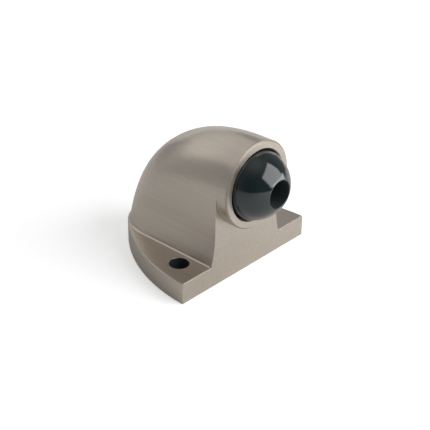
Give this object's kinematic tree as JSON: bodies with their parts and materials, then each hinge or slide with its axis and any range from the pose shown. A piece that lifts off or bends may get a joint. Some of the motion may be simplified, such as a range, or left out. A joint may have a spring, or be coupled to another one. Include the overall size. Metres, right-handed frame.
{
  "type": "angled wall door stop",
  "caption": "Angled wall door stop: a hooded satin nickel casting with screw ears on a flat foot, and a black rubber bumper set in its front ring.",
  "frame": {"origin": "on the mounting face, midway between the axes of the two ear holes", "axes": "+X across the ears, to the right as seen from the bumper's side; +Y back from the bumper to the nose; +Z out of the mounting face"},
  "size_m": [0.0636, 0.064, 0.0508],
  "materials": {
    "satin_nickel": "satin, finely brushed",
    "black_rubber": "smooth, slightly glossy",
    "screw_steel": "zinc plated"
  },
  "bodies": {
    "root": {"stop_body": "satin_nickel", "rubber_bumper": "black_rubber", "bumper_screw": "screw_steel"}
  },
  "joints": []
}
